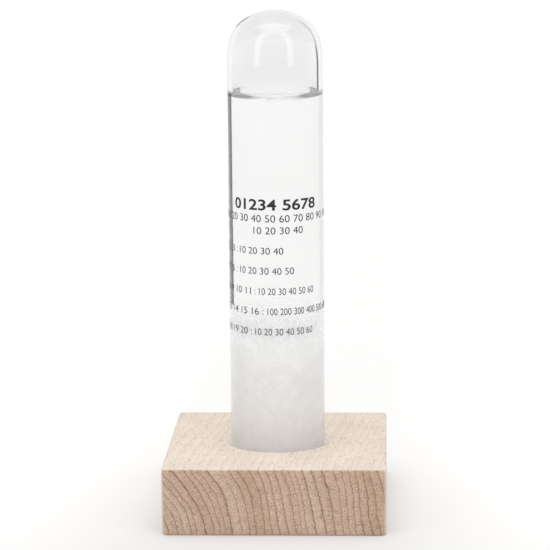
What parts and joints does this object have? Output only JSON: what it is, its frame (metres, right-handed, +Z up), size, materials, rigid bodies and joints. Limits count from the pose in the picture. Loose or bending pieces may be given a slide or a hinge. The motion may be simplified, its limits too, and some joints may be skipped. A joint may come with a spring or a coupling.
{
  "type": "storm glass",
  "caption": "Domed glass tube of clear liquid and white crystals, sealed at its hidden end, standing in a round socket in a rectangular beech block.",
  "frame": {"origin": "centre of the wooden base's underside, where the object stands; it is also on the tube's axis", "axes": "+Z up along the tube's axis, +X along the base's width, -Y towards the viewer and out of the end-grain face"},
  "size_m": [0.074, 0.08, 0.1695],
  "materials": {
    "beech": "matte",
    "cork": "matte",
    "clear_glass": "polished",
    "stopper_rubber": "matte",
    "seal": "matte",
    "liquid": "polished",
    "crystals": "matte",
    "print": "matte"
  },
  "bodies": {
    "base": {"wooden_base": "beech"},
    "pad": {"socket_pad": "cork"},
    "tube": {"glass_tube": "clear_glass", "end_stopper": "stopper_rubber", "rim_seal": "seal", "storm_liquid": "liquid", "crystal_bed": "crystals", "crystal_fronds": "crystals"}
  },
  "joints": [
    {"name": "tube_turn", "type": "hinge", "parent": "base", "child": "pad", "pos_m": [0, 0, 0.0075], "axis": [0, 0, 1], "continuous": true},
    {"name": "tube_lift", "type": "slide", "parent": "pad", "child": "tube", "axis": [0, 0, 1], "range_m": [0, 0.03]}
  ]
}
